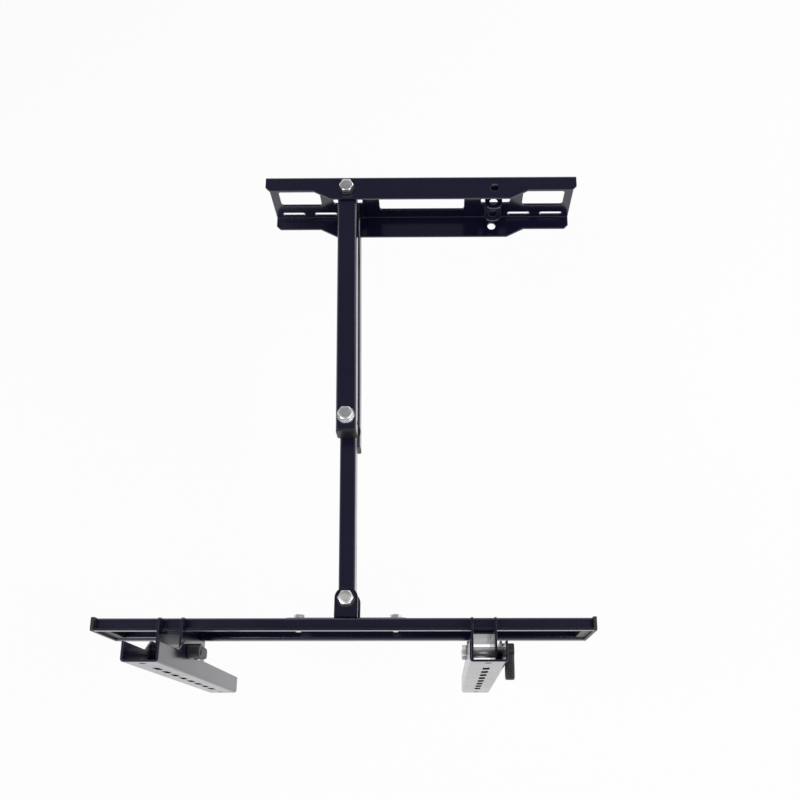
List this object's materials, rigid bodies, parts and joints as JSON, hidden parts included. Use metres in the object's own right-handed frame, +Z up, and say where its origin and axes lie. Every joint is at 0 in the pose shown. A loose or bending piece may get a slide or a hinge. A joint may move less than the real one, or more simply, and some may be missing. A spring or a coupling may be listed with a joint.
{
  "type": "tv wall mount",
  "caption": "Full-motion television wall mount: slotted wall plate, folding two-stage arm, swivelling rail and tilting screen brackets with clamp levers.",
  "frame": {"origin": "middle of the wall plate's back face, in the plane of the wall", "axes": "+Z up, +X to the right seen from the room, +Y into the wall"},
  "size_m": [0.6538, 0.7379, 0.43],
  "materials": {
    "satin_black_paint": "satin",
    "zinc_plate": "bright zinc",
    "black_nylon": "matt",
    "black_plastic": "fine grain"
  },
  "bodies": {
    "wall_plate": {"wall_plate": "satin_black_paint", "left_upper_lug": "satin_black_paint", "left_lower_lug": "satin_black_paint", "right_upper_lug": "satin_black_paint", "right_lower_lug": "satin_black_paint", "wall_pivot_washer": "zinc_plate", "wall_pivot_bolt": "zinc_plate", "wall_pivot_nut": "zinc_plate"},
    "rear_arm": {"upper_rear_tube": "satin_black_paint", "lower_rear_tube": "satin_black_paint", "upper_rear_top_bush": "black_nylon", "upper_rear_under_bush": "black_nylon", "lower_rear_top_bush": "black_nylon", "lower_rear_under_bush": "black_nylon", "upper_elbow_spacer": "zinc_plate", "lower_elbow_spacer": "zinc_plate", "upper_rear_plug": "black_plastic", "lower_rear_plug": "black_plastic", "elbow_washer": "zinc_plate", "elbow_bolt": "zinc_plate", "elbow_nut": "zinc_plate"},
    "front_arm": {"front_tube": "satin_black_paint", "elbow_top_bush": "black_nylon", "elbow_under_bush": "black_nylon", "head_top_bush": "black_nylon", "head_under_bush": "black_nylon"},
    "head": {"swivel_bracket": "satin_black_paint", "head_pivot_washer": "zinc_plate", "head_pivot_bolt": "zinc_plate", "head_pivot_nut": "zinc_plate", "head_rail": "satin_black_paint", "left_rail_bolt": "zinc_plate", "left_rail_nut": "zinc_plate", "left_rail_cap": "black_plastic", "right_rail_bolt": "zinc_plate", "right_rail_nut": "zinc_plate", "right_rail_cap": "black_plastic"},
    "left_hanger": {"left_tilt_adapter": "satin_black_paint", "left_safety_screw": "zinc_plate"},
    "left_bracket": {"left_screen_bracket": "satin_black_paint", "left_tilt_bolt": "zinc_plate", "left_tilt_nut": "zinc_plate", "left_outer_tilt_washer": "black_nylon", "left_inner_tilt_washer": "black_nylon", "left_lock_bolt": "zinc_plate"},
    "left_lever": {"left_clamp_lever": "black_plastic"},
    "right_hanger": {"right_tilt_adapter": "satin_black_paint", "right_safety_screw": "zinc_plate"},
    "right_bracket": {"right_screen_bracket": "satin_black_paint", "right_tilt_bolt": "zinc_plate", "right_tilt_nut": "zinc_plate", "right_outer_tilt_washer": "black_nylon", "right_inner_tilt_washer": "black_nylon", "right_lock_bolt": "zinc_plate"},
    "right_lever": {"right_clamp_lever": "black_plastic"}
  },
  "joints": [
    {"name": "wall_swivel", "type": "hinge", "parent": "wall_plate", "child": "rear_arm", "pos_m": [-0.11, -0.02, 0], "axis": [0, 0, 1], "range_deg": [-85, 85]},
    {"name": "elbow", "type": "hinge", "parent": "rear_arm", "child": "front_arm", "pos_m": [-0.10215, -0.37991, 0], "axis": [0, 0, -1], "range_deg": [-90, 90]},
    {"name": "head_swivel", "type": "hinge", "parent": "front_arm", "child": "head", "pos_m": [-0.09735, -0.62987, 0], "axis": [0, 0, 1], "range_deg": [-60, 60]},
    {"name": "left_slide", "type": "slide", "parent": "head", "child": "left_hanger", "axis": [1, 0, 0], "range_m": [-0.075, 0.18]},
    {"name": "left_tilt", "type": "hinge", "parent": "left_hanger", "child": "left_bracket", "pos_m": [-0.31735, -0.70087, 0], "axis": [1, 0, 0], "range_deg": [-6, 12]},
    {"name": "left_lever_turn", "type": "hinge", "parent": "left_bracket", "child": "left_lever", "pos_m": [-0.29505, -0.70087, 0.046], "axis": [1, 0, 0], "range_deg": [-170, 0]},
    {"name": "right_slide", "type": "slide", "parent": "head", "child": "right_hanger", "axis": [1, 0, 0], "range_m": [-0.14, 0.115]},
    {"name": "right_tilt", "type": "hinge", "parent": "right_hanger", "child": "right_bracket", "pos_m": [0.08265, -0.70087, 0], "axis": [1, 0, 0], "range_deg": [-6, 12]},
    {"name": "right_lever_turn", "type": "hinge", "parent": "right_bracket", "child": "right_lever", "pos_m": [0.10495, -0.70087, 0.046], "axis": [1, 0, 0], "range_deg": [-90, 90]}
  ]
}
